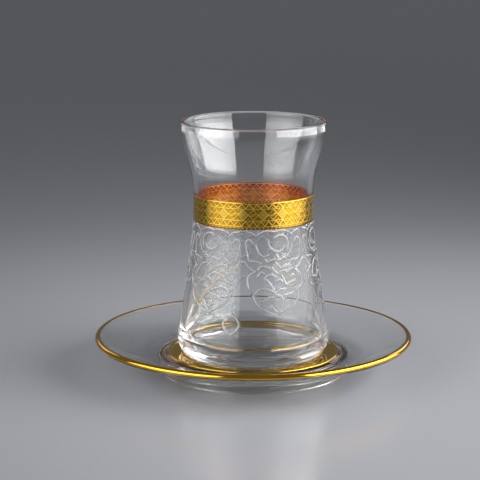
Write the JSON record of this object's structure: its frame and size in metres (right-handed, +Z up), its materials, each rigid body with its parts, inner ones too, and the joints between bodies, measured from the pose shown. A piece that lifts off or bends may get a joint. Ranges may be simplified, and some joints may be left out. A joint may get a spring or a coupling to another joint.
{
  "type": "waisted tea glass on a saucer",
  "caption": "Waisted clear tea glass with a heavy rounded base and a gilded band, standing empty on a wide clear saucer with a gilded rim.",
  "frame": {"origin": "bottom centre of the saucer's foot ring, on the surface that it stands on", "axes": "+Z up along the axis that both pieces are turned about; -Y towards the picture's viewer"},
  "size_m": [0.125, 0.125, 0.0996],
  "materials": {
    "saucer_glass": "clear pressed glass, polished",
    "cup_glass": "clear pressed glass, polished, with fine raised ornament",
    "gilding": "fired gold film, etched where it is the band and bright on the rim"
  },
  "bodies": {
    "root": {"saucer": "saucer_glass", "tea_glass": "cup_glass"}
  },
  "joints": []
}
